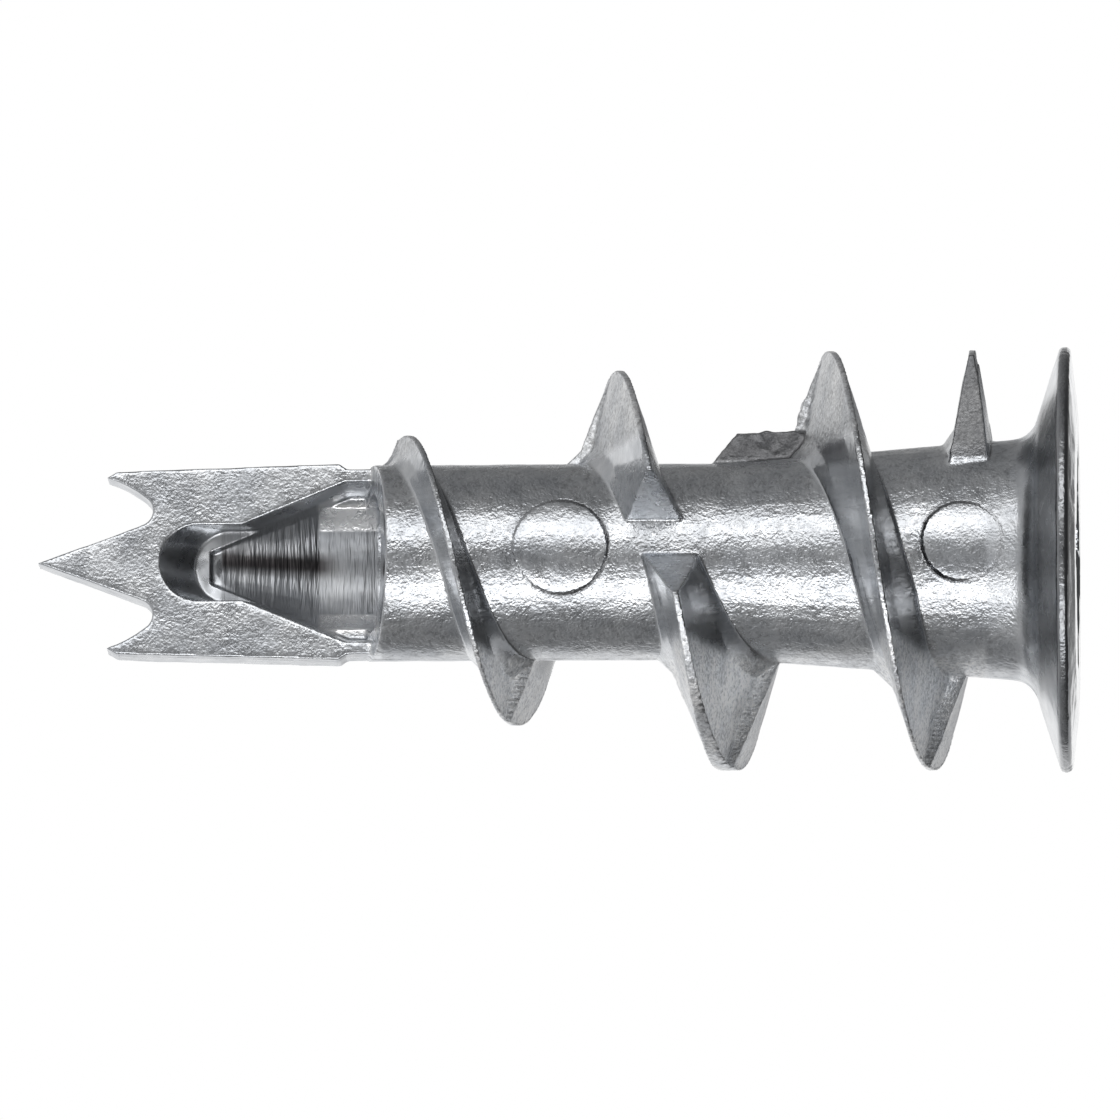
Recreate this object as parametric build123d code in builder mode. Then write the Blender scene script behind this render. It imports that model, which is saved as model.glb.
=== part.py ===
from build123d import *
import os
from math import cos, radians, sin, tan

# Self-drilling plasterboard anchor, die-cast in zinc alloy as one piece. Millimetres.
# The anchor stands on its head: the origin is the centre of the head's outer face and +Z runs
# along the axis to the drilling tip. The die opens along Y, its parting plane is Y = 0, and the
# drilling blade's flat face and pocket are on the -Y side. The thread is right-handed.

# --- head ---
HEAD_RADIUS = 6.5
HEAD_FACE_RADIUS = 4.75         # the outer face is flat up to here, bevelled beyond
HEAD_BEVEL_ANGLE = 6.5
HEAD_RIM_THICKNESS = 0.32
HEAD_RIM_FILLET = 0.15
HEAD_BACK_ANGLE = 18.3
NECK_FILLET = 0.85

# --- sleeve ---
SLEEVE_RADIUS = 3.0
SLEEVE_TAPER_HEIGHT = 10.6      # the sleeve is a slight cone up to here, a cylinder beyond
SLEEVE_DRAFT = 4.5
SHOULDER_HEIGHT = 21.55         # where the sleeve's front half ends, at the blade's face
SHOULDER_DRAFT = 10.5

# --- bore and driver recess ---
BORE_RADIUS = 1.9
BORE_MOUTH_RADIUS = 2.35        # the bore opens out over the depth of the recess
BORE_STEP_BACK = 0.35           # it opens to the trough's size this far short of the shoulder
BORE_OVERRUN = 0.05             # and keeps that size to just past the shoulder
RECESS_DEPTH = 4.2
RECESS_MOUTH_SPAN = 6.6
RECESS_BOTTOM_SPAN = 3.7
RECESS_WING_WIDTH = 1.35

# --- thread: angles in degrees, counted from +X at the head's end ---
THREAD_START_HEIGHT = 3.19
THREAD_RUN_IN_RISE = 1.43       # climb over the first half turn, which starts level
THREAD_PITCH = 6.11
THREAD_PITCH_GAIN = 0.104       # each turn is longer than the last by twice this
THREAD_CREST_RADIUS = 6.42
THREAD_CREST_HALF_WIDTH = 0.12
THREAD_FLANK_SLOPE = 0.23
THREAD_RUN_IN_SLOPE = 0.17
THREAD_TAPER_HEIGHT = 10.15     # the crest draws in beyond this height
THREAD_TAPER_RATE = 0.0755
THREAD_TAPER_POWER = 1.5
THREAD_FOOT_WIDTH = 0.30        # the tip side flares at the root, most where the die parts
THREAD_FOOT_LEAST = 0.1         # the share of the flare left farthest from there
THREAD_FOOT_HEIGHT = 0.47
THREAD_EMBED = 0.55
THREAD_HALF_TURNS = 6
THREAD_FADE_ANGLE = 70.0
THREAD_SECTION_STEP = 20.0
PARTING_FILL = 0.5              # metal at the root that lets each die half draw off the flanks
PARTING_FILL_ANGLE = 35.0

# --- gap across the thread, and the cut end of its lead fin ---
GAP_HALF_TURN = 3
GAP_STEP = 0.19                 # the thread is this much higher after the gap
GAP_STEP_ANGLE = 60.0
GAP_WIDENING = 0.2              # added to half its width at the start of the half turn with the gap
GAP_WIDENING_SLOPE = 0.05       # and to the slope of its flanks there
GAP_WIDENING_ANGLE = 70.0
GAP_UPPER_EDGE = 0.83
GAP_UPPER_ANGLE = 20.0
GAP_LOWER_EDGE = 0.28
GAP_LOWER_ANGLE = 30.0
FIN_LEAD_ANGLE = 50.0
FIN_LEAN = 0.04                 # at its end the fin's tip side slopes more by this, its head side less
FIN_END_FRONT = 2.47            # the flat lies this far in front of the axis
FIN_FOOT_SIDE = 2.7             # nearer the axis than this it ramps out to meet the sleeve
FIN_FOOT_ANGLE = 12.0

# --- drilling blade ---
OVERALL_LENGTH = 31.8
BLADE_FACE = 0.37               # the face lies this far in front of the axis
BLADE_BACK = 0.95
BLADE_TIP_BACK = 0.70
BLADE_ROOT_HALF_WIDTH = 2.87
BLADE_ROOT_HEIGHT = 22.35
BLADE_HALF_WIDTH = 3.04
BLADE_WIDE_HEIGHT = 22.6
SPUR_CORNER = (2.83, 29.40)
SPUR_TIP = (2.64, 29.72)
SPUR_INNER = (2.42, 29.16)
SPUR_FOOT = (2.0, 28.5)
NOTCH_BOTTOM = (1.6, 28.3)
SPIKE_ROOT = (1.17, 28.6)
BULGE_END_HEIGHT = 26.5
BULGE_RAMP_ANGLE = 45.0

# --- pocket in the blade's face: a drafted vee down to a turned core's trough, and a slot ---
TROUGH_RADIUS = 2.1
TROUGH_CONE_HEIGHT = 23.3       # the trough narrows from here towards a point
TROUGH_CONE_ANGLE = 20.0
VEE_APEX_DEPTH = 0.95           # behind the axis: the least depth of the vee
VEE_APEX_HEIGHT = 26.28         # these four are the vee's outline at the trough's deepest line
VEE_APEX_HALF_WIDTH = 0.29
VEE_HALF_ANGLE = 22.5
VEE_HALF_WIDTH = 1.95
VEE_DRAFT = 12.5
SLOT_RADIUS = 1.17              # half its width, and the radius of its end
SLOT_END_CENTRE = 26.94         # at the blade's face; the end leans 45 degrees towards the head
SLOT_DEPTH = 1.06
SLOT_LENGTH = 2.9

# --- gate stub and ejector marks ---
GATE_LOW = 6.12
GATE_HIGH = 11.17
GATE_LOW_RUN = 1.0              # length of the sloping end nearer the head
GATE_HIGH_RUN = 0.74            # length of the other, steeper end
GATE_RADIUS = 3.98
GATE_FRONT = 0.35
GATE_BACK = 0.85
MARKS = ((15.72, 1.45, 3.05), (3.47, 1.225, 3.62))   # height, radius, radius of the crown

CLEAR = 1.0                     # how far cutting tools run past what they cut

os.makedirs("parts", exist_ok=True)


def sleeve_radius(height):
    """Outer radius of the sleeve at a height."""
    return SLEEVE_RADIUS + max(0.0, SLEEVE_TAPER_HEIGHT - height) * tan(radians(SLEEVE_DRAFT))


def run_in(angle):
    """0 at the thread's level start, 1 from the end of its first half turn."""
    return max(0.0, min(angle, 180.0)) / 180.0


def thread_height(angle):
    """Height of the thread's middle plane at an angle."""
    turns = max(0.0, angle - 180.0) / 360.0
    rise = THREAD_RUN_IN_RISE * run_in(angle) ** 2 + THREAD_PITCH * turns + THREAD_PITCH_GAIN * turns**2
    across = 0.5 + (angle - 180.0 * GAP_HALF_TURN - 90.0) / GAP_STEP_ANGLE
    across = max(0.0, min(across, 1.0))
    return THREAD_START_HEIGHT + rise + GAP_STEP * across**2 * (3.0 - 2.0 * across)


def widening(angle):
    """1 where the thread is widest, at the start of the half turn with the gap; 0 away from it."""
    return max(0.0, 1.0 - abs(angle - 180.0 * GAP_HALF_TURN) / GAP_WIDENING_ANGLE)


def crest_radius(angle):
    """Radius of the thread's crest: it draws in towards the tip, then fades into the sleeve."""
    height = thread_height(angle)
    tapered = max(0.0, height - THREAD_TAPER_HEIGHT) ** THREAD_TAPER_POWER
    crest = THREAD_CREST_RADIUS - THREAD_TAPER_RATE * tapered
    fade = max(0.0, angle - 180.0 * THREAD_HALF_TURNS) / THREAD_FADE_ANGLE
    buried = sleeve_radius(height) - THREAD_CREST_HALF_WIDTH
    return crest + (buried - crest) * fade


def thread_section(angle, after_start, before_stop):
    """Corners of the thread's section in its radial plane, as (radius, height offset).

    The last two arguments are the angles from the ends of its stretch, where the die halves meet.
    """
    crest = crest_radius(angle)
    half_width = THREAD_CREST_HALF_WIDTH + GAP_WIDENING * widening(angle)
    root = min(sleeve_radius(thread_height(angle)), crest - THREAD_CREST_HALF_WIDTH)
    depth = crest - root
    full_depth = THREAD_CREST_RADIUS - SLEEVE_RADIUS
    slope = THREAD_RUN_IN_SLOPE + (THREAD_FLANK_SLOPE - THREAD_RUN_IN_SLOPE) * run_in(angle)
    slope += GAP_WIDENING_SLOPE * widening(angle)
    lead = max(0.0, -angle) / FIN_LEAD_ANGLE
    foot_height = min(THREAD_FOOT_HEIGHT, 0.4 * depth)
    foot_share = THREAD_FOOT_LEAST + (1.0 - THREAD_FOOT_LEAST) * cos(radians(angle)) ** 2
    foot_width = THREAD_FOOT_WIDTH * foot_share * min(1.0, 2 * depth / full_depth) * (1.0 - lead)
    fill = PARTING_FILL * depth / full_depth
    near_start = max(0.0, 1.0 - after_start / PARTING_FILL_ANGLE) ** 2
    near_stop = max(0.0, 1.0 - before_stop / PARTING_FILL_ANGLE) ** 2
    tip_fill = fill * near_start
    head_fill = fill * (near_stop if cos(radians(angle)) > 0 else max(near_start, near_stop))
    head_slope = slope - FIN_LEAN * lead + head_fill / depth
    tip_slope = slope + FIN_LEAN * lead + tip_fill / depth
    foot_slope = tip_slope + foot_width / foot_height
    foot_top = half_width + tip_slope * (depth - foot_height)
    return [
        (root - THREAD_EMBED, -half_width - head_slope * (depth + THREAD_EMBED)),
        (crest, -half_width),
        (crest, half_width),
        (root + foot_height, foot_top),
        (root - THREAD_EMBED, foot_top + foot_slope * (foot_height + THREAD_EMBED)),
    ]


def radial_plane(angle):
    """The plane through the axis at an angle, with its own y along +Z."""
    turn = radians(angle)
    return Plane(
        origin=(0, 0, thread_height(angle)),
        x_dir=(cos(turn), sin(turn), 0),
        z_dir=(sin(turn), -cos(turn), 0),
    )


def thread_stretch(start, stop, parted_start=True, parted_stop=True):
    """One stretch of thread, cast in one die half."""
    steps = max(3, round((stop - start) / THREAD_SECTION_STEP))
    with BuildPart() as stretch:
        for step in range(steps + 1):
            angle = start + (stop - start) * step / steps
            after_start = angle - start if parted_start else PARTING_FILL_ANGLE
            before_stop = stop - angle if parted_stop else PARTING_FILL_ANGLE
            with BuildSketch(radial_plane(angle)):
                with BuildLine():
                    Polyline(*thread_section(angle, after_start, before_stop), close=True)
                make_face()
        loft()
    return stretch.part


# --- head and sleeve: one turned form, up to the drafted shoulder ---
rim_front = (HEAD_RADIUS - HEAD_FACE_RADIUS) * tan(radians(HEAD_BEVEL_ANGLE))
rim_back = rim_front + HEAD_RIM_THICKNESS
neck_height = rim_back + (HEAD_RADIUS - sleeve_radius(rim_back)) * tan(radians(HEAD_BACK_ANGLE))
neck_radius = sleeve_radius(neck_height)
shoulder = Plane(
    origin=(0, -BLADE_FACE, SHOULDER_HEIGHT),
    x_dir=(1, 0, 0),
    z_dir=(0, -sin(radians(SHOULDER_DRAFT)), cos(radians(SHOULDER_DRAFT))),
)
with BuildPart() as sleeve:
    with BuildSketch(Plane.YZ) as turned:
        with BuildLine():
            Polyline(
                (0, 0),
                (HEAD_FACE_RADIUS, 0),
                (HEAD_RADIUS, rim_front),
                (HEAD_RADIUS, rim_back),
                (neck_radius, neck_height),
                (SLEEVE_RADIUS, SLEEVE_TAPER_HEIGHT),
                (SLEEVE_RADIUS, SHOULDER_HEIGHT + SLEEVE_RADIUS),
                (0, SHOULDER_HEIGHT + SLEEVE_RADIUS),
                close=True,
            )
        make_face()
        rim = (HEAD_RADIUS, (rim_front + rim_back) / 2)
        fillet(turned.vertices().sort_by_distance(rim)[:2], HEAD_RIM_FILLET)
        fillet(turned.vertices().sort_by_distance((neck_radius, neck_height))[0], NECK_FILLET)
    revolve(axis=Axis.Z)
    split(bisect_by=shoulder, keep=Keep.BOTTOM)

# --- drilling blade: a forked plate, backed by half of the sleeve's cylinder up to a ramp ---
blade_start = SHOULDER_HEIGHT - SLEEVE_RADIUS
ramp_end = BULGE_END_HEIGHT + (SLEEVE_RADIUS - BLADE_BACK) / tan(radians(BULGE_RAMP_ANGLE))
with BuildPart() as blade:
    with BuildSketch(Plane.XZ.offset(BLADE_FACE)):
        with BuildLine():
            Polyline(
                (0, blade_start),
                (BLADE_ROOT_HALF_WIDTH, blade_start),
                (BLADE_ROOT_HALF_WIDTH, BLADE_ROOT_HEIGHT),
                (BLADE_HALF_WIDTH, BLADE_WIDE_HEIGHT),
                SPUR_CORNER,
                SPUR_TIP,
            )
            ThreePointArc(SPUR_TIP, SPUR_INNER, SPUR_FOOT)
            ThreePointArc(SPUR_FOOT, NOTCH_BOTTOM, SPIKE_ROOT)
            Line(SPIKE_ROOT, (0, OVERALL_LENGTH))
            mirror(about=Plane.YZ)
        make_face()
    extrude(amount=-(BLADE_FACE + SLEEVE_RADIUS + CLEAR))
    with BuildSketch(Plane.XY.offset(blade_start - CLEAR)):
        Circle(SLEEVE_RADIUS)
        with Locations((0, (BLADE_BACK - BLADE_FACE) / 2)):
            Rectangle(2 * (BLADE_HALF_WIDTH + CLEAR), BLADE_FACE + BLADE_BACK)
    extrude(amount=OVERALL_LENGTH, mode=Mode.INTERSECT)
    with BuildSketch(Plane.YZ):
        with BuildLine():
            Polyline(
                (SLEEVE_RADIUS, BULGE_END_HEIGHT),
                (BLADE_BACK, ramp_end),
                (BLADE_TIP_BACK, OVERALL_LENGTH),
                (BLADE_TIP_BACK, OVERALL_LENGTH + CLEAR),
                (SLEEVE_RADIUS + CLEAR, OVERALL_LENGTH + CLEAR),
                (SLEEVE_RADIUS + CLEAR, BULGE_END_HEIGHT),
                close=True,
            )
        make_face()
    extrude(amount=BLADE_HALF_WIDTH + CLEAR, both=True, mode=Mode.SUBTRACT)
    split(bisect_by=shoulder, keep=Keep.TOP)

# --- lead fin: the thread runs on past its level start and ends in a flat facing the front ---
far = 2 * THREAD_CREST_RADIUS
with BuildPart() as lead_fin:
    add(thread_stretch(-FIN_LEAD_ANGLE, 0, parted_start=False, parted_stop=False))
    with BuildSketch(Plane.XY):
        with BuildLine():
            Polyline(
                (0, -FIN_END_FRONT - FIN_FOOT_SIDE * tan(radians(FIN_FOOT_ANGLE))),
                (FIN_FOOT_SIDE, -FIN_END_FRONT),
                (far, -FIN_END_FRONT),
                (far, -far),
                (0, -far),
                close=True,
            )
        make_face()
    extrude(amount=2 * THREAD_START_HEIGHT, mode=Mode.SUBTRACT)

# --- the half turn with a gap, which opens outwards from the front of the sleeve ---
gap_start = 180.0 * GAP_HALF_TURN
gap_root = SLEEVE_RADIUS - THREAD_EMBED
with BuildPart() as gapped_turn:
    add(thread_stretch(gap_start, gap_start + 180))
    with BuildSketch(Plane.XY):
        with BuildLine():
            Polyline(
                (GAP_UPPER_EDGE - THREAD_EMBED * tan(radians(GAP_UPPER_ANGLE)), -gap_root),
                (GAP_UPPER_EDGE + (far - SLEEVE_RADIUS) * tan(radians(GAP_UPPER_ANGLE)), -far),
                (-GAP_LOWER_EDGE - (far - SLEEVE_RADIUS) * tan(radians(GAP_LOWER_ANGLE)), -far),
                (-GAP_LOWER_EDGE + THREAD_EMBED * tan(radians(GAP_LOWER_ANGLE)), -gap_root),
                close=True,
            )
        make_face()
    extrude(amount=thread_height(gap_start + 180) + THREAD_PITCH, mode=Mode.SUBTRACT)

# --- bore, from the head to just past the shoulder, with the driver recess across its mouth ---
bore_lean = (BORE_MOUTH_RADIUS - BORE_RADIUS) / RECESS_DEPTH
bore_step = SHOULDER_HEIGHT - BORE_STEP_BACK
with BuildPart() as bore:
    with BuildSketch(Plane.XZ):
        with BuildLine():
            Polyline(
                (0, -CLEAR),
                (BORE_MOUTH_RADIUS + bore_lean * CLEAR, -CLEAR),
                (BORE_RADIUS, RECESS_DEPTH),
                (BORE_RADIUS, bore_step),
                (TROUGH_RADIUS, bore_step),
                (TROUGH_RADIUS, SHOULDER_HEIGHT + CLEAR),
                (0, SHOULDER_HEIGHT + CLEAR),
                close=True,
            )
        make_face()
    revolve(axis=Axis.Z)
    split(bisect_by=shoulder.offset(BORE_OVERRUN), keep=Keep.BOTTOM)

wing_lean = (RECESS_MOUTH_SPAN - RECESS_BOTTOM_SPAN) / 2 / RECESS_DEPTH
with BuildPart() as recess:
    for wing_plane in (Plane.XZ, Plane.YZ):
        with BuildSketch(wing_plane):
            with BuildLine():
                Polyline(
                    (-RECESS_MOUTH_SPAN / 2 - wing_lean * CLEAR, -CLEAR),
                    (RECESS_MOUTH_SPAN / 2 + wing_lean * CLEAR, -CLEAR),
                    (RECESS_BOTTOM_SPAN / 2, RECESS_DEPTH),
                    (-RECESS_BOTTOM_SPAN / 2, RECESS_DEPTH),
                    close=True,
                )
            make_face()
        extrude(amount=RECESS_WING_WIDTH / 2, both=True)

# --- pocket: a drafted vee as deep as the core's trough, or as its own apex, and the slot ---
vee_foot = SHOULDER_HEIGHT - TROUGH_RADIUS
vee_wide = VEE_APEX_HEIGHT - (VEE_HALF_WIDTH - VEE_APEX_HALF_WIDTH) / tan(radians(VEE_HALF_ANGLE))
cone_end = TROUGH_CONE_HEIGHT + TROUGH_RADIUS / tan(radians(TROUGH_CONE_ANGLE))
with BuildPart() as reach:
    with BuildSketch(Plane.YZ):
        with BuildLine():
            Polyline(
                (0, vee_foot),
                (TROUGH_RADIUS, vee_foot),
                (TROUGH_RADIUS, TROUGH_CONE_HEIGHT),
                (0, cone_end),
                close=True,
            )
        make_face()
    revolve(axis=Axis.Z)
    with BuildSketch(Plane.XZ.offset(-VEE_APEX_DEPTH)):
        with Locations((0, (vee_foot + OVERALL_LENGTH) / 2)):
            Rectangle(4 * VEE_HALF_WIDTH, OVERALL_LENGTH - vee_foot)
    extrude(amount=VEE_APEX_DEPTH + BLADE_FACE + CLEAR)
with BuildPart() as pocket:
    with BuildSketch(Plane.XZ.offset(-TROUGH_RADIUS)):
        Polygon(
            (-VEE_APEX_HALF_WIDTH, VEE_APEX_HEIGHT),
            (VEE_APEX_HALF_WIDTH, VEE_APEX_HEIGHT),
            (VEE_HALF_WIDTH, vee_wide),
            (VEE_HALF_WIDTH, vee_foot),
            (-VEE_HALF_WIDTH, vee_foot),
            (-VEE_HALF_WIDTH, vee_wide),
            align=None,
        )
    extrude(amount=TROUGH_RADIUS + BLADE_FACE + CLEAR, taper=-VEE_DRAFT)
    add(reach.part, mode=Mode.INTERSECT)
    split(bisect_by=shoulder, keep=Keep.TOP)
slot_fall = SLOT_DEPTH + CLEAR
slot_top = SLOT_END_CENTRE + CLEAR
slot_foot = SLOT_END_CENTRE - SLOT_LENGTH
with BuildPart() as slot:
    with BuildSketch(Plane.XZ.offset(BLADE_FACE + CLEAR)):
        with Locations((0, slot_top)):
            Circle(SLOT_RADIUS)
        with Locations((0, (slot_top + slot_foot) / 2)):
            Rectangle(2 * SLOT_RADIUS, slot_top - slot_foot)
    extrude(amount=slot_fall * 2**0.5, dir=(0, 1, -1))

# --- ejector marks: low round pads, turned to the sleeve's curve ---
with BuildPart() as marks:
    for mark_height, mark_radius, crown_radius in MARKS:
        with BuildSketch(Plane.XZ.offset(SLEEVE_RADIUS - THREAD_EMBED)):
            with Locations((0, mark_height)):
                Circle(mark_radius)
        extrude(amount=SLEEVE_RADIUS)
        with BuildSketch(Plane.XY.offset(mark_height - mark_radius)):
            Circle(SLEEVE_RADIUS + far)
            Circle(crown_radius, mode=Mode.SUBTRACT)
        extrude(amount=2 * mark_radius, mode=Mode.SUBTRACT)

# --- the casting ---
with BuildPart() as anchor:
    add(sleeve.part)
    add(blade.part)
    add(lead_fin.part)
    for half_turn in range(THREAD_HALF_TURNS):
        if half_turn == GAP_HALF_TURN:
            add(gapped_turn.part)
        else:
            parted = half_turn > 0
            add(thread_stretch(180.0 * half_turn, 180.0 * (half_turn + 1), parted_start=parted))
    thread_end = 180.0 * THREAD_HALF_TURNS
    add(thread_stretch(thread_end, thread_end + THREAD_FADE_ANGLE, parted_stop=False))
    with BuildSketch(Plane.XZ.offset(GATE_FRONT)):
        with BuildLine():
            Polyline(
                (SLEEVE_RADIUS - THREAD_EMBED, GATE_LOW),
                (SLEEVE_RADIUS, GATE_LOW),
                (GATE_RADIUS, GATE_LOW + GATE_LOW_RUN),
                (GATE_RADIUS, GATE_HIGH - GATE_HIGH_RUN),
                (SLEEVE_RADIUS, GATE_HIGH),
                (SLEEVE_RADIUS - THREAD_EMBED, GATE_HIGH),
                close=True,
            )
        make_face()
    extrude(amount=-(GATE_FRONT + GATE_BACK))
    add(marks.part)
    add(bore.part, mode=Mode.SUBTRACT)
    add(recess.part, mode=Mode.SUBTRACT)
    add(pocket.part, mode=Mode.SUBTRACT)
    add(slot.part, mode=Mode.SUBTRACT)

anchor.part.label = "anchor_body"
export_step(anchor.part, "parts/anchor_body.step")
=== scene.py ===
from itertools import product
from math import cos, pi, radians, sin

import bmesh
import bpy
import numpy as np
from mathutils import Matrix, Vector


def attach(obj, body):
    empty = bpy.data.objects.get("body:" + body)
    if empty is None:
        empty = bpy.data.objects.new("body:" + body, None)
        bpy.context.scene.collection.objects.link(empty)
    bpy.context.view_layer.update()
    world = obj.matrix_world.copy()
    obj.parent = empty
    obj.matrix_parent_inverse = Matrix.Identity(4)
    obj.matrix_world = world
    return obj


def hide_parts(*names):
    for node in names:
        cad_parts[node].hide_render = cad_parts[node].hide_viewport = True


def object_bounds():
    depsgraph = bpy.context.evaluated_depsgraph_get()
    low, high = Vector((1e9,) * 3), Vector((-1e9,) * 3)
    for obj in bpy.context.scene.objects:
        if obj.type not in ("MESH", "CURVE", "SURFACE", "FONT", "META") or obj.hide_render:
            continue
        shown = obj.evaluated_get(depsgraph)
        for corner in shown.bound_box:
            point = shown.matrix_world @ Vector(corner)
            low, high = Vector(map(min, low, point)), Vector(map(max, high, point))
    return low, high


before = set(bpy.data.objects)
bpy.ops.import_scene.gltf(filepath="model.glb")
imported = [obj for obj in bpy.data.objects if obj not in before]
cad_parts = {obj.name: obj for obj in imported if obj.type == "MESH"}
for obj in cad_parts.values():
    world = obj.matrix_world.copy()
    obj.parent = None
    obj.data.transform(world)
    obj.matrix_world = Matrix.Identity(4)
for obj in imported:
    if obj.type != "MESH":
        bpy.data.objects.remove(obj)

# A die-cast zinc plasterboard anchor, standing on its head. Metres, in the frame of the packed
# part: +Z runs from the head to the drilling tip, -Y is the side of the blade's pocket.

CAD_LOW, CAD_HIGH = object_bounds()
MM = 0.001
NODE = "anchor_body"

# Places on the casting, in millimetres, as the part has them. A span is its lowest and highest z.
SLEEVE_RADIUS = 3.0
SHOULDER = 21.55
THREAD_START = 3.0
CREST_RADIUS = 6.42
CREST_TAPER_START = 10.15
CREST_TAPER_RATE = 0.0755
CREST_TAPER_POWER = 1.5
LEAD_FIN_END_SPAN = (2.65, 3.95)
LEAD_FIN_END_X = 2.75
GAP_SPAN = (11.6, 14.6)
GAP_X = (-0.9, 2.2)
GAP_FLOOR_Y = -2.6
GATE_SPAN = (6.1, 11.2)
GATE_Y = (-0.5, 1.0)
GATE_ROOT_X = 3.1
GATE_TOP_X = 3.45
GATE_RADIUS = 4.0
TROUGH_RADIUS = 2.1
TROUGH_CONE = 23.3
TROUGH_END = 26.2
TROUGH_CREASE_X = 0.3
TROUGH_STEPS_X = 1.35
SLOT_SPAN = (26.3, 28.4)
BLADE_BACK_Y = 0.9
FACE_EDGE = 0.18
RIM_RADIUS = 6.4
RIM_TOP = 0.5
BEVEL_SPAN = (0.5, 1.1)
CONE_SPAN = (0.7, 2.6)
HEAD_FRONT_X = 3.8
HEAD_FRONT_Y = -1.0

# The ejector marks: height, radius, and the side (+1 towards the tip) on which each groove is deeper and
# takes more painted shade.
EJECTOR_MARKS = ((15.72, 1.45, -1), (3.47, 1.225, 1))
EJECTOR_FRONT_Y = -1.5

# The mesh, in millimetres: it is made of even voxels, and then thinned.
WELD = 1e-4
VOXEL = 0.05
SMOOTHING_TURNS = 3
SMOOTHING_STRENGTH = 0.5
VERTEX_TARGET = 97000

# The cast surface, in millimetres: layers of lumps as (height, size), the turned marks, the
# parting plane's witness line, and the wear of the crests.
CAST_LUMPS = ((0.010, 1.3), (0.007, 0.55), (0.005, 0.24))
BROKEN_LUMPS = ((0.09, 0.7), (0.05, 0.28))
BROKEN_SINK = 0.03
BROKEN_REACH_X = 5.0
TURNED_DEPTH = 0.010
TURNED_PITCH = 0.09
TURNED_SLANT = 0.4
TURNED_Y = (1.0, 2.0)
TURNED_END = 27
SEAM_RADII = (2.8, 4.2)
SEAM_WIDTH = 0.05
SEAM_HEIGHT = 0.018
SEAM_UNEVEN = 0.012
SEAM_LUMP = 0.5
CREST_WEAR = 0.055
CREST_WEAR_WIDTH = 0.9

# The near die half's flanks stand back, most at the -X parting plane: in millimetres, with the
# degrees round from that plane over which it is full, and those over which it then fades.
SET_BACK = 0.42
SET_BACK_CREST_LOSS = 0.27
SET_BACK_CREST_WIDTH = 1.5
SET_BACK_DEGREES = (0, 2)
SET_BACK_FADE = 60

# The zinc's colours. Stops are (position along a noise, colour or grey).
WHITE = (1, 1, 1)
MOTTLE_STOPS = ((0.32, (0.52, 0.54, 0.57)), (0.68, (0.70, 0.715, 0.735)))
PIT_STOPS = ((0.30, 0.60), (0.50, 1.0))
PIT_SHARE = 0.8
SPECK_STOPS = ((0.36, 0.45), (0.60, 1.0))
SPECK_SHARE = 0.75
# Painted light: the fins are made paler, more so on the -X side, for the light their flanks catch.
FIN_PAINTED_LIGHT = (1.45, 1.43, 1.40)
FIN_PAINTED_LIGHT_BELOW = (1.75, 1.73, 1.70)
# Painted light: the shoulder band takes this share of the fins' paleness.
SHOULDER_PAINTED_LIGHT_SHARE = 0.7
# Painted highlight: the flat steps beside the trough's cone are made near white.
STEPS_PAINTED_HIGHLIGHT = (0.90, 0.90, 0.90)
STEPS_PAINTED_HIGHLIGHT_SHARE = 0.9
# A dark brownish streak along the trough near its crease, and its share.
STREAK_COLOUR = (0.05, 0.038, 0.038)
STREAK_SHARE = 0.9
# The colour of the painted shade.
PAINTED_SHADE_COLOUR = (0.10, 0.10, 0.105)

# How much painted shade each place takes: gate stub, lead fin's flat end, ejector grooves, head rim and
# bevel, head-side flanks, trough.
PAINTED_SHADE_SHARES = {"gate": 0.85, "fin_end": 0.68, "rings": 0.85, "rim": 0.5, "bevel": 0.55,
               "head_side": 0.5, "trough": 0.2, "trough_shade": 0.45}

# How strongly the casting grain shows, and what share of it each place loses.
GRAIN_SHARE = 0.85
GRAIN_LOSS_BLADE = 0.3
GRAIN_LOSSES = {"smooth": 0.85, "discs": 0.3, "fin_end": 0.4}

# Roughness, with its unevenness and what each place adds or takes away.
ROUGHNESS = 0.14
ROUGHNESS_UNEVEN = 0.30
SMOOTH_LOSS = 0.35
FACE_LOSS = 0.6
FINS_ROUGHER = 0.18
CONE_ROUGHER = 0.09

# Relief of the shading, in metres, and what shapes it.
GRAIN_RELIEF = 0.000026
SPARKLE_SHARE = 0.65
TURNED_RELIEF = 0.000045
TURNED_SQUEEZE = (0.10, 0.10, 1.0)
RING_RELIEF = 0.000030
RING_RAGGED = 0.16
RING_SHALLOW = 0.25

# The studio, laid out round the line of sight.
VIEW_TURN = radians(-10.0)
VIEW_ROLL = radians(-0.3)
VIEW_TILT = radians(2.2)
VIEW_DISTANCE = 0.8
FRAME_WIDTH = 0.03425
SENSOR_WIDTH = 36.0
CLIP_NEAR = 0.01
CLIP_FAR = 10.0
AIM_UP = 0.00008
AIM_ALONG = 0.01584
TO_CAMERA = Vector((sin(VIEW_TURN), -cos(VIEW_TURN), 0.0))
IMAGE_UP = Vector((cos(VIEW_TURN), sin(VIEW_TURN), 0.0))
TIPWARD = Vector((0, 0, 1))
LAMP_DISTANCE = 0.30
LAMP_LENGTH = 0.30

# What the metal reflects: greys of the room from the head's end (0) to the tip's (1), and a white
# sweep and table, with their edges as slopes away from the line of sight.
ROOM_GREYS = ((0.0, 0.05), (0.30, 0.10), (0.5, 0.20), (0.72, 0.36), (1.0, 0.55))
SWEEP_BOTTOM = -0.9
SWEEP_TOP = 0.28
SWEEP_HEAD_SIDE = -0.12
SWEEP_TIP_SIDE = 0.6
TABLE_BOTTOM = -1.0
TABLE_TOP = -0.14
TABLE_HEAD_SIDE = -1.1
TABLE_WHITE = 0.6
NEARLY_LEVEL = 0.01

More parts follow.
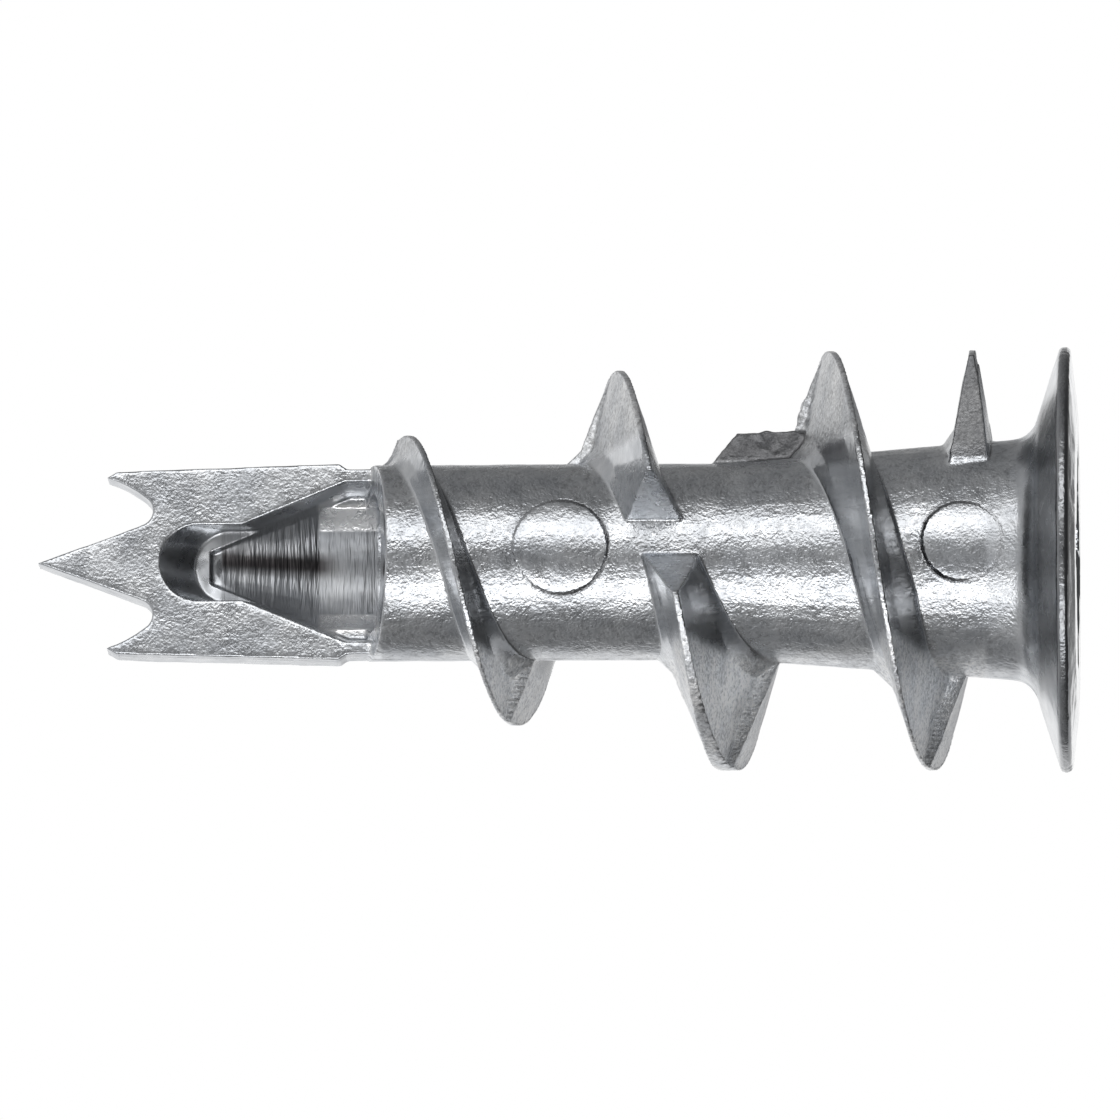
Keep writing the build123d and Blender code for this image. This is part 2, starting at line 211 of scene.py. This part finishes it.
# The floor: it fades from its full share to none over these shares of its radius.
FLOOR_RADIUS = 0.10
FLOOR_GAP = 0.00002
FLOOR_SIDES = 96
FLOOR_FADE = ((0.35, 0.0), (0.95, 1.0))
FLOOR_GREY = 0.86
FLOOR_GLOW = 1.3
FLOOR_GLOW_SHARE = 0.7


# ---------------------------------------------------------------- noise on points

# A common integer hash: one prime for each axis, and rounds of (shift, multiplier) in 32 bits.
AXIS_PRIMES = np.array([73856093, 19349663, 83492791])
SEED_PRIME = 2654435761
HASH_ROUNDS = ((15, 2246822519), (13, 3266489917))
HASH_LAST_SHIFT = 16
WORD = 0xFFFFFFFF
HALF_WORD = 0x7FFFFFFF


def lattice(cells, seed):
    """A fixed pseudo-random number from -1 to 1 for each whole-numbered cell."""
    mixed = np.bitwise_xor.reduce(cells * AXIS_PRIMES, axis=1)
    mixed = (mixed ^ (seed * SEED_PRIME)) & WORD
    for shift, multiplier in HASH_ROUNDS:
        mixed = (mixed ^ (mixed >> shift)) * multiplier & WORD
    mixed = mixed ^ (mixed >> HASH_LAST_SHIFT)
    return mixed.astype(np.float64) / HALF_WORD - 1.0


def noise(points, size, seed):
    """Smooth noise from -1 to 1 with lumps of about a size, at each point."""
    scaled = points / size
    cells = np.floor(scaled).astype(np.int64)
    inside = scaled - cells
    blend = inside * inside * (3 - 2 * inside)
    total = np.zeros(len(points))
    for step_z, step_y, step_x in product((0, 1), repeat=3):
        step = np.array([step_x, step_y, step_z])
        share = np.where(step, blend, 1 - blend).prod(axis=1)
        total += share * lattice(cells + step, seed)
    return total


def lumps(points, layers, first_seed):
    """Layers of noise added up, each given as its height and its size."""
    return sum(height * noise(points, size, first_seed + index)
               for index, (height, size) in enumerate(layers))


def band(values, low, high, soft):
    """1 between two limits, falling to 0 over a soft edge outside them."""
    rise = np.clip((values - low) / soft + 1, 0, 1)
    fall = np.clip((high - values) / soft + 1, 0, 1)
    return rise * fall


def ramp_up(values, start, width):
    """0 up to a start, rising to 1 over a width."""
    return np.clip((values - start) / width, 0, 1)


# ---------------------------------------------------------------- the casting's surface

def crest_radius(height):
    """Radius of the thread's crest at a height."""
    above = np.clip(height - CREST_TAPER_START, 0, None)
    return CREST_RADIUS - CREST_TAPER_RATE * above ** CREST_TAPER_POWER


def near_crest(radius, height, width):
    """1 at the thread's crest, falling to 0 over a width inwards from it."""
    return np.clip((radius - crest_radius(height)) / width + 1, 0, 1)


def on_thread(height):
    """1 where the thread is, along the sleeve."""
    return (height > THREAD_START) * (height < SHOULDER)


def broken_gate(points):
    """The rough top of the gate stub, where it was broken off."""
    x, y, z = points.T
    gate = band(z, *GATE_SPAN, soft=0.2) * band(x, GATE_TOP_X, BROKEN_REACH_X, soft=0.2)
    gate = gate * band(y, *GATE_Y, soft=0.1)
    return gate * (lumps(points, BROKEN_LUMPS, first_seed=4) - BROKEN_SINK)


def turned_trough(points, radius):
    """The turned marks that the core left along the trough."""
    y = points[:, 1]
    z = points[:, 2]
    trough = band(radius, 0, TROUGH_RADIUS + 0.05, soft=0.05)
    trough = trough * band(z, SHOULDER, TURNED_END, soft=0.2) * band(y, *TURNED_Y, soft=0.1)
    along = np.column_stack([z, radius * TURNED_SLANT, np.zeros_like(z)])
    return trough * TURNED_DEPTH * noise(along, TURNED_PITCH, seed=6)


def parting_seam(points, radius):
    """The witness line on the sleeve where the die halves met."""
    y = points[:, 1]
    seam = np.exp(-((y / SEAM_WIDTH) ** 2)) * band(radius, *SEAM_RADII, soft=0.1)
    return seam * (SEAM_HEIGHT + SEAM_UNEVEN * noise(points, SEAM_LUMP, seed=7))


def worn_crest(normals, radius, height):
    """How much the flanks draw in towards a worn crest."""
    flank = ramp_up(np.abs(normals[:, 2]), start=0.5, width=0.3) * on_thread(height)
    return flank * near_crest(radius, height, CREST_WEAR_WIDTH) * CREST_WEAR


def cast_surface(points, normals):
    """How far each point stands out from the true form, in millimetres."""
    radius = np.hypot(points[:, 0], points[:, 1])
    out = lumps(points, CAST_LUMPS, first_seed=1)
    out += broken_gate(points)
    out += turned_trough(points, radius)
    out += parting_seam(points, radius)
    out -= worn_crest(normals, radius, points[:, 2])
    return out


def set_back(points, normals):
    """How far the near die half's flank stands back along +Z from the far half's, on the -X side."""
    x, y, z = points.T
    radius = np.hypot(x, y)
    turn = np.degrees(np.arctan2(-y, -x))
    fin = ramp_up(radius, start=SLEEVE_RADIUS + 0.1, width=0.5) * on_thread(z)
    head_side = ramp_up(-normals[:, 2], start=0.15, width=0.25)
    depth = SET_BACK - SET_BACK_CREST_LOSS * near_crest(radius, z, SET_BACK_CREST_WIDTH)
    return band(turn, *SET_BACK_DEGREES, soft=SET_BACK_FADE) * (y < 0) * fin * head_side * depth


# ---------------------------------------------------------------- the casting's mesh

def rows(items, name):
    """A value with three parts of each item of a mesh, as one row each."""
    flat = np.empty(len(items) * 3)
    items.foreach_get(name, flat)
    return flat.reshape(-1, 3)


def put_vertices(mesh, points):
    """Moves the vertices to points in millimetres, kept inside the CAD solid's box."""
    low = np.array(CAD_LOW) / MM
    high = np.array(CAD_HIGH) / MM
    mesh.vertices.foreach_set("co", np.clip(points, low, high).ravel())
    mesh.update()


def apply_modifiers(piece):
    """Gives the piece its mesh with the modifiers applied, and takes them away."""
    graph = bpy.context.evaluated_depsgraph_get()
    mesh = bpy.data.meshes.new_from_object(piece.evaluated_get(graph))
    piece.modifiers.clear()
    piece.data = mesh


def remesh(piece):
    """Even small faces all over, with every edge a little rounded."""
    even = piece.modifiers.new("even", "REMESH")
    even.mode = "VOXEL"
    even.voxel_size = VOXEL
    soften = piece.modifiers.new("soften", "SMOOTH")
    soften.factor = SMOOTHING_STRENGTH
    soften.iterations = SMOOTHING_TURNS
    apply_modifiers(piece)


def thin_out(piece):
    """Fewer faces, all of them triangles, where the surface doesn't need them."""
    thin = piece.modifiers.new("thin", "DECIMATE")
    thin.ratio = min(1.0, VERTEX_TARGET / len(piece.data.vertices))
    piece.modifiers.new("triangles", "TRIANGULATE")
    apply_modifiers(piece)


def solid_copy():
    """The CAD solid's mesh in millimetres, welded, as a new piece."""
    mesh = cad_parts[NODE].data.copy()
    mesh.transform(Matrix.Scale(1 / MM, 4))
    mesh.materials.clear()
    shell = bmesh.new()
    shell.from_mesh(mesh)
    bmesh.ops.remove_doubles(shell, verts=shell.verts, dist=WELD)
    shell.to_mesh(mesh)
    shell.free()
    piece = bpy.data.objects.new("anchor_casting", mesh)
    bpy.context.scene.collection.objects.link(piece)
    return piece


def make_casting():
    """The whole anchor as one mesh, with the surface of a casting, standing for the CAD solid."""
    piece = solid_copy()
    remesh(piece)
    points = rows(piece.data.vertices, "co")
    normals = rows(piece.data.vertex_normals, "vector")
    moved = points + normals * cast_surface(points, normals)[:, None]
    moved[:, 2] += set_back(points, normals)
    put_vertices(piece.data, moved)

    thin_out(piece)
    put_vertices(piece.data, rows(piece.data.vertices, "co"))
    piece.data.transform(Matrix.Scale(MM, 4))
    piece.data.shade_smooth()
    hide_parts(NODE)
    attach(piece, "root")
    return piece


# ---------------------------------------------------------------- node trees

# A Mix node's sockets for colours, which share their names with those for numbers and vectors.
MIX_SHARE = 0
MIX_COLOURS = (6, 7)
MIX_RESULT = 2


class Graph:
    """Short calls for building a node tree."""

    def __init__(self, tree):
        self.nodes = tree.nodes
        self.links = tree.links
        self.nodes.clear()

    def add(self, kind, **settings):
        node = self.nodes.new(kind)
        for name, value in settings.items():
            setattr(node, name, value)
        return node

    def put(self, value, socket):
        """Links a socket to another node's output, or sets it to a number or a colour."""
        if isinstance(value, bpy.types.NodeSocket):
            self.links.new(value, socket)
        elif isinstance(value, tuple):
            socket.default_value = (*value, 1.0)
        else:
            socket.default_value = value

    def math(self, operation, *values, clamp=False):
        node = self.add("ShaderNodeMath", operation=operation, use_clamp=clamp)
        for value, socket in zip(values, node.inputs):
            self.put(value, socket)
        return node.outputs[0]

    def scaled(self, value, factor, offset=0.0):
        """A value times a factor, plus an offset."""
        return self.math("MULTIPLY_ADD", value, factor, offset)

    def product(self, *factors):
        """Several values multiplied together."""
        total = factors[0]
        for factor in factors[1:]:
            total = self.math("MULTIPLY", total, factor)
        return total

    def outside(self, mask):
        """The opposite of a mask."""
        return self.math("SUBTRACT", 1.0, mask)

    def distance(self, a, b):
        """The length of a vector with two parts."""
        return self.math("SQRT", self.math("ADD", self.product(a, a), self.product(b, b)))

    def step(self, value, zero, one):
        """0 at one limit and 1 at the other, whichever way round they are."""
        node = self.add("ShaderNodeMapRange", interpolation_type="SMOOTHSTEP")
        self.put(value, node.inputs["Value"])
        node.inputs["From Min"].default_value = zero
        node.inputs["From Max"].default_value = one
        return node.outputs["Result"]

    def above(self, value, limit, soft):
        """1 above a limit, with a soft edge below it."""
        return self.step(value, limit - soft, limit)

    def below(self, value, limit, soft):
        """1 below a limit, with a soft edge above it."""
        return self.step(value, limit + soft, limit)

    def between(self, value, low, high, soft):
        """1 between two limits, with a soft edge outside them."""
        return self.product(self.above(value, low, soft), self.below(value, high, soft))

    def split(self, vector):
        """The x, y and z of a vector."""
        node = self.add("ShaderNodeSeparateXYZ")
        self.put(vector, node.inputs[0])
        return node.outputs

    def noise(self, vector, scale, detail=2.0, roughness=0.6):
        node = self.add("ShaderNodeTexNoise")
        self.put(vector, node.inputs["Vector"])
        node.inputs["Scale"].default_value = scale
        node.inputs["Detail"].default_value = detail
        node.inputs["Roughness"].default_value = roughness
        return node.outputs["Fac"]

    def ramp(self, value, *stops):
        """A colour ramp over a value, with stops as (position, grey or colour)."""
        node = self.add("ShaderNodeValToRGB")
        self.put(value, node.inputs[0])
        marks = node.color_ramp.elements
        while len(marks) < len(stops):
            marks.new(position=0.5)
        for mark, (position, colour) in zip(marks, stops):
            mark.position = position
            shade = colour if isinstance(colour, tuple) else (colour,) * 3
            mark.color = (*shade, 1.0)
        return node.outputs[0]

    def mix(self, share, a, b, **settings):
        """Two colours mixed by a share of the second."""
        node = self.add("ShaderNodeMix", data_type="RGBA", **settings)
        self.put(share, node.inputs[MIX_SHARE])
        for value, index in zip((a, b), MIX_COLOURS):
            self.put(value, node.inputs[index])
        return node.outputs[MIX_RESULT]

    def tinted(self, a, b, clamp=False):
        """Two colours multiplied."""
        return self.mix(1.0, a, b, blend_type="MULTIPLY", clamp_result=clamp)

    def bump(self, height, distance, strength, normal=None):
        """A normal that leans with a height; the distance is in metres."""
        node = self.add("ShaderNodeBump")
        self.put(height, node.inputs["Height"])
        self.put(strength, node.inputs["Strength"])
        node.inputs["Distance"].default_value = distance
        if normal is not None:
            self.put(normal, node.inputs["Normal"])
        return node.outputs[0]

    def mixed_shaders(self, share, a, b):
        """Two shaders mixed by a share of the second."""
        node = self.add("ShaderNodeMixShader")
        for value, socket in zip((share, a.outputs[0], b.outputs[0]), node.inputs):
            self.put(value, socket)
        return node


# ---------------------------------------------------------------- material

class Places:
    """Where the casting's surface differs: each mask is 1 inside its place and 0 elsewhere."""

    def __init__(self, graph):
        self.graph = graph
        texture = graph.add("ShaderNodeTexCoord")
        scaled = graph.add("ShaderNodeVectorMath", operation="SCALE")
        graph.put(texture.outputs["Object"], scaled.inputs[0])
        scaled.inputs["Scale"].default_value = 1 / MM
        self.point = scaled.outputs[0]
        self.x, self.y, self.z = graph.split(self.point)
        self.facing_x, self.facing_y, self.facing_z = graph.split(texture.outputs["Normal"])
        self.aside = graph.math("ABSOLUTE", self.x)
        self.radius = graph.distance(self.x, self.y)
        self.steep = graph.math("ABSOLUTE", self.facing_z)
        self.find_thread()
        self.find_blade()
        self.find_gate()
        self.find_head()
        self.find_ejector_marks()

    def find_thread(self):
        """The fins, the smooth surfaces that face along the anchor, and the lead fin's flat end."""
        graph = self.graph
        self.fins = graph.product(graph.above(self.aside, SLEEVE_RADIUS + 0.4, soft=0.6),
                                  graph.between(self.z, THREAD_START - 0.1, SHOULDER, soft=0.2))
        gap = graph.product(graph.between(self.z, *GAP_SPAN, soft=0.2),
                            graph.between(self.x, *GAP_X, soft=0.2),
                            graph.below(self.y, GAP_FLOOR_Y, soft=0.2))
        self.shoulder = graph.product(graph.between(self.z, SHOULDER - 0.25, SHOULDER + 0.1, soft=0.1),
                                      graph.below(self.y, -0.3, soft=0.3))
        self.smooth = graph.product(graph.above(self.steep, 0.45, soft=0.33), graph.outside(self.fins),
                                    graph.outside(self.shoulder), graph.outside(gap))
        self.head_side = graph.product(self.smooth, graph.below(self.facing_z, -0.7, soft=0.3),
                                       graph.above(self.z, THREAD_START + 1.0, soft=1.0))
        self.fin_end = graph.product(graph.between(self.z, *LEAD_FIN_END_SPAN, soft=0.1),
                                     graph.above(self.x, LEAD_FIN_END_X + 0.1, soft=0.1),
                                     graph.below(self.facing_y, -0.6, soft=0.3))

    def find_blade(self):
        """The blade's face, the trough with the steps beside its cone, and the slot."""
        graph = self.graph
        self.blade = graph.product(graph.above(self.z, SHOULDER + 0.5, soft=0.5),
                                   graph.below(self.y, BLADE_BACK_Y, soft=0.4))
        trough = graph.product(graph.below(self.radius, TROUGH_RADIUS + 0.05, soft=0.15),
                               graph.between(self.z, SHOULDER, TROUGH_END, soft=0.1),
                               graph.above(self.y, 0.6, soft=0.3))
        self.steps = graph.product(trough, graph.above(self.aside, TROUGH_STEPS_X, soft=0.1),
                                   graph.below(self.z, TROUGH_CONE - 0.1, soft=0.15))
        self.trough = graph.math("SUBTRACT", trough, self.steps, clamp=True)
        self.trough_shade = graph.product(self.trough, graph.above(self.x, 0.9, soft=0.7))
        # A dark brownish streak along the trough, centred near its crease.
        off_crease = graph.math("ABSOLUTE", graph.math("SUBTRACT", self.x, TROUGH_CREASE_X))
        self.dark_streak = graph.product(self.trough, graph.below(off_crease, 0.08, soft=0.42),
                                   graph.above(self.z, TROUGH_CONE + 0.1, soft=1.0))
        self.slot = graph.product(graph.between(self.z, *SLOT_SPAN, soft=0.05),
                                  graph.above(self.y, 0.4, soft=0.3))

    def find_gate(self):
        """The gate stub's top and sides."""
        graph = self.graph
        stub = graph.math("MAXIMUM", graph.above(self.x, GATE_TOP_X + 0.05, soft=0.1),
                          graph.below(self.facing_x, 0.7, soft=0.15))
        self.gate = graph.product(stub, graph.between(self.z, *GATE_SPAN, soft=0.15),
                                  graph.between(self.x, GATE_ROOT_X, GATE_RADIUS, soft=0.1),
                                  graph.between(self.y, GATE_Y[0] - 0.1, GATE_Y[1] + 0.1, soft=0.1),
                                  graph.below(self.steep, 0.55, soft=0.2))

    def find_head(self):
        """The head's outer face and rim, and the front of its bevel and cone."""
        graph = self.graph
        self.face = graph.below(self.z, FACE_EDGE, soft=0.1)
        self.rim = graph.product(graph.above(self.radius, RIM_RADIUS, soft=0.2),
                                 graph.below(self.z, RIM_TOP, soft=0.2))
        front = graph.product(graph.below(self.aside, HEAD_FRONT_X, soft=1.2),
                              graph.below(self.y, HEAD_FRONT_Y, soft=1.0))
        self.bevel = graph.product(graph.between(self.z, *BEVEL_SPAN, soft=0.1), front)
        self.cone = graph.product(graph.between(self.z, *CONE_SPAN, soft=0.2), front)

    def find_ejector_marks(self):
        """The marks' discs, and a ragged groove round each that is deeper, and darker with painted
        shade, on one side.
        """
        graph = self.graph
        front = graph.below(self.y, EJECTOR_FRONT_Y, soft=0.5)
        ragged = graph.scaled(graph.noise(self.point, scale=7.0), RING_RAGGED, -RING_RAGGED / 2)
        self.rings = 0.0
        self.discs = 0.0
        for height, reach, deeper in EJECTOR_MARKS:
            offset = graph.math("SUBTRACT", self.z, height)
            away = graph.distance(self.x, offset)
            across = graph.step(offset, -reach * deeper, reach * deeper)
            depth = graph.scaled(across, 1 - RING_SHALLOW, RING_SHALLOW)
            uneven = graph.math("ADD", away, ragged)
            ring = graph.product(graph.between(uneven, reach - 0.01, reach + 0.02, soft=0.06),
                                 front, depth)
            disc = graph.product(graph.below(away, reach - 0.1, soft=0.1), front)
            self.rings = graph.math("ADD", self.rings, ring)
            self.discs = graph.math("ADD", self.discs, disc)


def zinc_grain(graph, places):
    """How strongly each place shows the casting grain."""
    kept = [graph.scaled(getattr(places, name), -loss, 1.0) for name, loss in GRAIN_LOSSES.items()]
    return graph.product(graph.scaled(places.blade, -GRAIN_LOSS_BLADE, GRAIN_SHARE), *kept,
                         graph.outside(graph.math("MAXIMUM", places.trough, places.slot)))


def zinc_colour(graph, places, grain, grained):
    """Bluish grey with pits, specked on the fins; painted light makes the fins and shoulder paler and
    the steps brighter, a dark streak runs along the trough, and painted shade darkens listed places.
    """
    shade = graph.ramp(graph.noise(places.point, scale=0.8, detail=3.0), *MOTTLE_STOPS)
    pits = graph.mix(graph.product(grained, PIT_SHARE), WHITE, graph.ramp(grain, *PIT_STOPS))
    specks = graph.ramp(graph.noise(places.point, scale=8.0, detail=3.0, roughness=0.7), *SPECK_STOPS)
    pits = graph.mix(graph.product(places.fins, SPECK_SHARE), pits, specks)
    colour = graph.tinted(shade, pits)

    # Painted light: paler fins, paler still on the -X side.
    painted_light = graph.mix(graph.below(places.x, -0.5, soft=1.0), FIN_PAINTED_LIGHT, FIN_PAINTED_LIGHT_BELOW)
    # Painted light: the shoulder band is paler as well.
    pale = graph.math("MAXIMUM", places.fins, graph.product(places.shoulder, SHOULDER_PAINTED_LIGHT_SHARE))
    colour = graph.tinted(colour, graph.mix(pale, WHITE, painted_light), clamp=True)
    # Painted highlight on the steps beside the trough's cone.
    colour = graph.mix(graph.product(places.steps, STEPS_PAINTED_HIGHLIGHT_SHARE), colour, STEPS_PAINTED_HIGHLIGHT)
    # A dark brownish streak along the trough.
    colour = graph.mix(graph.product(places.dark_streak, STREAK_SHARE), colour, STREAK_COLOUR)
    # Painted shade: each place darkens by its share.
    dark = 0.0
    for name, share in PAINTED_SHADE_SHARES.items():
        dark = graph.math("MAXIMUM", dark, graph.product(getattr(places, name), share))
    return graph.mix(dark, colour, PAINTED_SHADE_COLOUR)


def zinc_roughness(graph, places):
    """Uneven, smoother where the die rubbed, rougher on the fins, in the trough and on the cone."""
    rough = graph.scaled(graph.noise(places.point, scale=1.8), ROUGHNESS_UNEVEN, ROUGHNESS)
    rubbed = graph.product(places.smooth, graph.outside(places.blade))
    rough = graph.product(rough, graph.scaled(rubbed, -SMOOTH_LOSS, 1.0),
                          graph.scaled(places.face, -FACE_LOSS, 1.0))
    rough = graph.scaled(graph.math("MAXIMUM", places.trough, places.fins), FINS_ROUGHER, rough)
    return graph.scaled(places.cone, CONE_ROUGHER, rough)


def zinc_relief(graph, places, grain, grained):
    """The casting grain, the trough's turned marks and the grooves round the ejector marks."""
    squeezed = graph.add("ShaderNodeMapping")
    squeezed.inputs["Scale"].default_value = TURNED_SQUEEZE
    graph.put(places.point, squeezed.inputs["Vector"])
    turned = graph.noise(squeezed.outputs[0], scale=8.0)
    sparkle = graph.noise(places.point, scale=13.0, detail=1.0, roughness=0.5)
    normal = graph.bump(graph.scaled(sparkle, SPARKLE_SHARE, grain), GRAIN_RELIEF, grained)
    normal = graph.bump(turned, TURNED_RELIEF, places.trough, normal)
    return graph.bump(graph.outside(places.rings), RING_RELIEF, 1.0, normal)


def zinc_material():
    """Die-cast zinc: bluish grey metal, grained, smoother where the die rubbed, turned in the trough."""
    material = bpy.data.materials.new("die_cast_zinc")
    material.use_nodes = True
    graph = Graph(material.node_tree)
    places = Places(graph)
    grain = graph.noise(places.point, scale=5.6)
    grained = zinc_grain(graph, places)

    surface = graph.add("ShaderNodeBsdfPrincipled")
    surface.inputs["Metallic"].default_value = 1.0
    graph.put(zinc_colour(graph, places, grain, grained), surface.inputs["Base Color"])
    graph.put(zinc_roughness(graph, places), surface.inputs["Roughness"])
    graph.put(zinc_relief(graph, places, grain, grained), surface.inputs["Normal"])
    out = graph.add("ShaderNodeOutputMaterial")
    graph.put(surface.outputs[0], out.inputs[0])
    return material


# ---------------------------------------------------------------- studio

def aim(thing, place, target, roll=0.0):
    """Puts a lamp or camera at a place, looking at a target with the image's up kept."""
    back = (place - target).normalized()
    up = (IMAGE_UP - back * IMAGE_UP.dot(back)).normalized()
    right = up.cross(back)
    turn = Matrix((right, up, back)).transposed().to_4x4()
    thing.matrix_world = Matrix.Translation(place) @ turn @ Matrix.Rotation(roll, 4, "Z")


def make_camera():
    """A long lens, looking at the pocket side from a little towards the head."""
    data = bpy.data.cameras.new("camera")
    camera = bpy.data.objects.new("camera", data)
    bpy.context.scene.collection.objects.link(camera)
    data.sensor_width = SENSOR_WIDTH
    data.lens = SENSOR_WIDTH * VIEW_DISTANCE / FRAME_WIDTH
    data.clip_start = CLIP_NEAR
    data.clip_end = CLIP_FAR
    target = IMAGE_UP * AIM_UP + TIPWARD * AIM_ALONG
    away = TO_CAMERA * cos(VIEW_TILT) - TIPWARD * sin(VIEW_TILT)
    aim(camera, target + away * VIEW_DISTANCE, target, VIEW_ROLL)
    bpy.context.scene.camera = camera


def softbox(name, angle, lean, width, strength):
    """A lamp at an angle above the line of sight, leaning along the anchor; long along Z."""
    data = bpy.data.lights.new(name, "AREA")
    data.shape = "RECTANGLE"
    data.size = LAMP_LENGTH
    data.size_y = width
    data.energy = strength * width * LAMP_LENGTH * pi
    lamp = bpy.data.objects.new(name, data)
    bpy.context.scene.collection.objects.link(lamp)
    direction = TO_CAMERA * cos(angle) + IMAGE_UP * sin(angle)
    direction = direction * cos(lean) + TIPWARD * sin(lean)
    target = TIPWARD * AIM_ALONG
    aim(lamp, target + direction * LAMP_DISTANCE, target)


def along_axes(graph):
    """How far each direction leads behind the anchor, up in the image and towards the tip."""
    direction = graph.add("ShaderNodeTexCoord").outputs["Generated"]
    lengths = []
    for axis in (-TO_CAMERA, IMAGE_UP, TIPWARD):
        dot = graph.add("ShaderNodeVectorMath", operation="DOT_PRODUCT")
        graph.put(direction, dot.inputs[0])
        dot.inputs[1].default_value = axis
        lengths.append(dot.outputs["Value"])
    return lengths


def white_sweep(graph, behind, up, tipward):
    """Where the metal sees the white sweep behind it and the table below."""
    beyond = graph.math("MAXIMUM", behind, NEARLY_LEVEL)
    rise = graph.math("DIVIDE", up, beyond)
    shift = graph.math("DIVIDE", tipward, beyond)
    sweep = graph.product(graph.above(rise, SWEEP_BOTTOM, soft=0.7),
                          graph.below(rise, SWEEP_TOP, soft=0.14),
                          graph.above(shift, SWEEP_HEAD_SIDE, soft=0.12),
                          graph.below(shift, SWEEP_TIP_SIDE, soft=0.4))
    table = graph.product(graph.above(rise, TABLE_BOTTOM, soft=0.8),
                          graph.below(rise, TABLE_TOP, soft=0.16),
                          graph.above(shift, TABLE_HEAD_SIDE, soft=0.6), TABLE_WHITE)
    return graph.math("MAXIMUM", sweep, table)


def make_world():
    """White to the camera; in reflections a grey studio with a white sweep behind and below."""
    world = bpy.data.worlds.new("studio")
    bpy.context.scene.world = world
    world.use_nodes = True
    graph = Graph(world.node_tree)
    behind, up, tipward = along_axes(graph)
    room = graph.add("ShaderNodeBackground")
    graph.put(graph.ramp(graph.scaled(tipward, 0.5, 0.5), *ROOM_GREYS), room.inputs[0])
    white = graph.add("ShaderNodeBackground")
    graph.put(WHITE, white.inputs[0])
    rays = graph.add("ShaderNodeLightPath")
    share = graph.math("MAXIMUM", rays.outputs["Is Camera Ray"],
                       white_sweep(graph, behind, up, tipward))
    out = graph.add("ShaderNodeOutputWorld")
    graph.put(graph.mixed_shaders(share, room, white).outputs[0], out.inputs[0])


def floor_material():
    """Pale and evenly lit, fading out towards the rim, and seen by the camera from above only."""
    material = bpy.data.materials.new("pale_floor")
    material.use_nodes = True
    graph = Graph(material.node_tree)
    reach = graph.add("ShaderNodeVectorMath", operation="LENGTH")
    graph.put(graph.add("ShaderNodeTexCoord").outputs["Object"], reach.inputs[0])
    fade = graph.ramp(graph.math("DIVIDE", reach.outputs["Value"], FLOOR_RADIUS), *FLOOR_FADE)
    matt = graph.add("ShaderNodeBsdfDiffuse")
    graph.put((FLOOR_GREY,) * 3, matt.inputs[0])
    glow = graph.add("ShaderNodeEmission")
    graph.put(WHITE, glow.inputs[0])
    graph.put(FLOOR_GLOW, glow.inputs[1])
    lit = graph.mixed_shaders(FLOOR_GLOW_SHARE, matt, glow)
    clear = graph.add("ShaderNodeBsdfTransparent")
    rays = graph.add("ShaderNodeLightPath")
    side = graph.add("ShaderNodeNewGeometry")
    upper = graph.math("SUBTRACT", rays.outputs["Is Camera Ray"], side.outputs["Backfacing"], clamp=True)
    shown = graph.product(upper, graph.outside(fade))
    out = graph.add("ShaderNodeOutputMaterial")
    graph.put(graph.mixed_shaders(shown, clear, lit).outputs[0], out.inputs[0])
    return material


def make_floor():
    """A pale round table top that fades into the white background."""
    mesh = bpy.data.meshes.new("floor")
    disc = bmesh.new()
    bmesh.ops.create_circle(disc, cap_ends=True, segments=FLOOR_SIDES, radius=FLOOR_RADIUS)
    disc.to_mesh(mesh)
    disc.free()
    floor = bpy.data.objects.new("floor", mesh)
    floor.location = (0, 0, -FLOOR_GAP)
    bpy.context.scene.collection.objects.link(floor)
    mesh.materials.append(floor_material())


# ---------------------------------------------------------------- the scene

casting = make_casting()
casting.data.materials.clear()
casting.data.materials.append(zinc_material())
make_camera()
softbox("key", angle=radians(39.5), lean=radians(3), width=0.14, strength=2.0)
softbox("low", angle=radians(-33), lean=0.0, width=0.13, strength=2.7)
make_world()
make_floor()
bpy.context.scene.view_settings.view_transform = "Standard"
